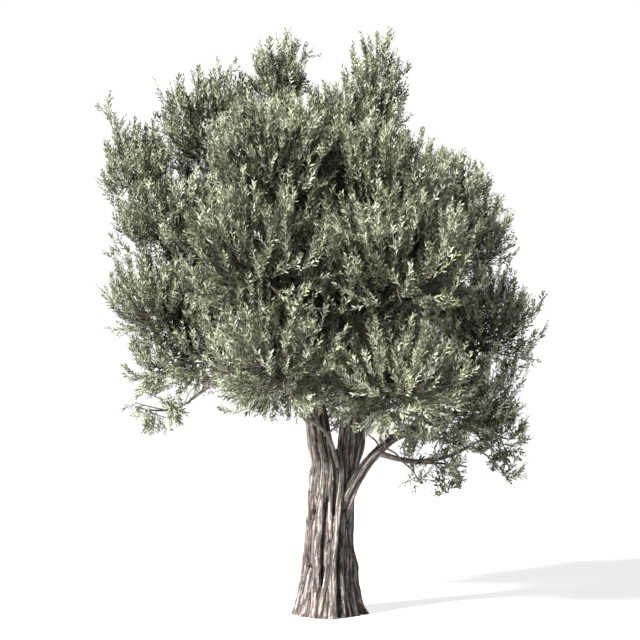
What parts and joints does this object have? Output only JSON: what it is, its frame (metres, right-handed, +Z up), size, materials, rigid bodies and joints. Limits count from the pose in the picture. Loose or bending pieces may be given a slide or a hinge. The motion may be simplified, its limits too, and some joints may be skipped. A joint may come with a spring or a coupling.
{
  "type": "olive tree",
  "caption": "Mature olive tree with a fluted grey trunk that forks low into twin stems, a side bough, and a dense rounded crown of narrow grey-green leaves rising to spires.",
  "frame": {"origin": "the middle of the flat cut under the trunk, at ground level", "axes": "+Z up the trunk, the front towards -Y, the side bough and the lower of the crown's two sides towards +X"},
  "size_m": [4.8189, 4.2419, 6.2069],
  "materials": {
    "trunk_bark": "rough fluted bark, pale grey ridges with a pinkish cast and dark brown furrows",
    "limb_bark": "rough grey-brown bark, finer than the trunk's",
    "foliage": "narrow leathery leaves, grey-green above and paler below, with a soft sheen"
  },
  "bodies": {
    "root": {"bough_back_left": "limb_bark", "bough_back_left_skirt": "limb_bark", "bough_back_right": "limb_bark", "bough_back_right_skirt": "limb_bark", "bough_back_upper_left": "limb_bark", "bough_back_upper_right": "limb_bark", "bough_crown_middle": "limb_bark", "bough_front_left": "limb_bark", "bough_front_left_skirt": "limb_bark", "bough_front_middle": "limb_bark", "bough_front_right": "limb_bark", "bough_front_right_skirt": "limb_bark", "bough_front_upper_left": "limb_bark", "bough_front_upper_right": "limb_bark", "bough_left_hanging": "limb_bark", "bough_left_low": "limb_bark", "bough_left_middle": "limb_bark", "bough_left_shoulder": "limb_bark", "bough_left_skirt": "limb_bark", "bough_left_tail": "limb_bark", "bough_left_wing": "limb_bark", "bough_right_hanging": "limb_bark", "bough_right_low": "limb_bark", "bough_right_shoulder": "limb_bark", "bough_right_tail": "limb_bark", "bough_right_upper": "limb_bark", "left_stem": "limb_bark", "right_stem": "limb_bark", "side_bough": "limb_bark", "trunk": "trunk_bark", "leaves_back_left": "foliage", "leaves_back_left_skirt": "foliage", "leaves_back_right": "foliage", "leaves_back_right_skirt": "foliage", "leaves_back_upper_left": "foliage", "leaves_back_upper_right": "foliage", "leaves_crown_middle": "foliage", "leaves_front_left": "foliage", "leaves_front_left_skirt": "foliage", "leaves_front_middle": "foliage", "leaves_front_right": "foliage", "leaves_front_right_skirt": "foliage", "leaves_front_upper_left": "foliage", "leaves_front_upper_right": "foliage", "leaves_left_hanging": "foliage", "leaves_left_low": "foliage", "leaves_left_middle": "foliage", "leaves_left_shoulder": "foliage", "leaves_left_skirt": "foliage", "leaves_left_spire": "foliage", "leaves_left_tail": "foliage", "leaves_left_wing": "foliage", "leaves_right_hanging": "foliage", "leaves_right_low": "foliage", "leaves_right_shoulder": "foliage", "leaves_right_skirt": "foliage", "leaves_right_spire": "foliage", "leaves_right_tail": "foliage", "leaves_right_upper": "foliage"}
  },
  "joints": []
}
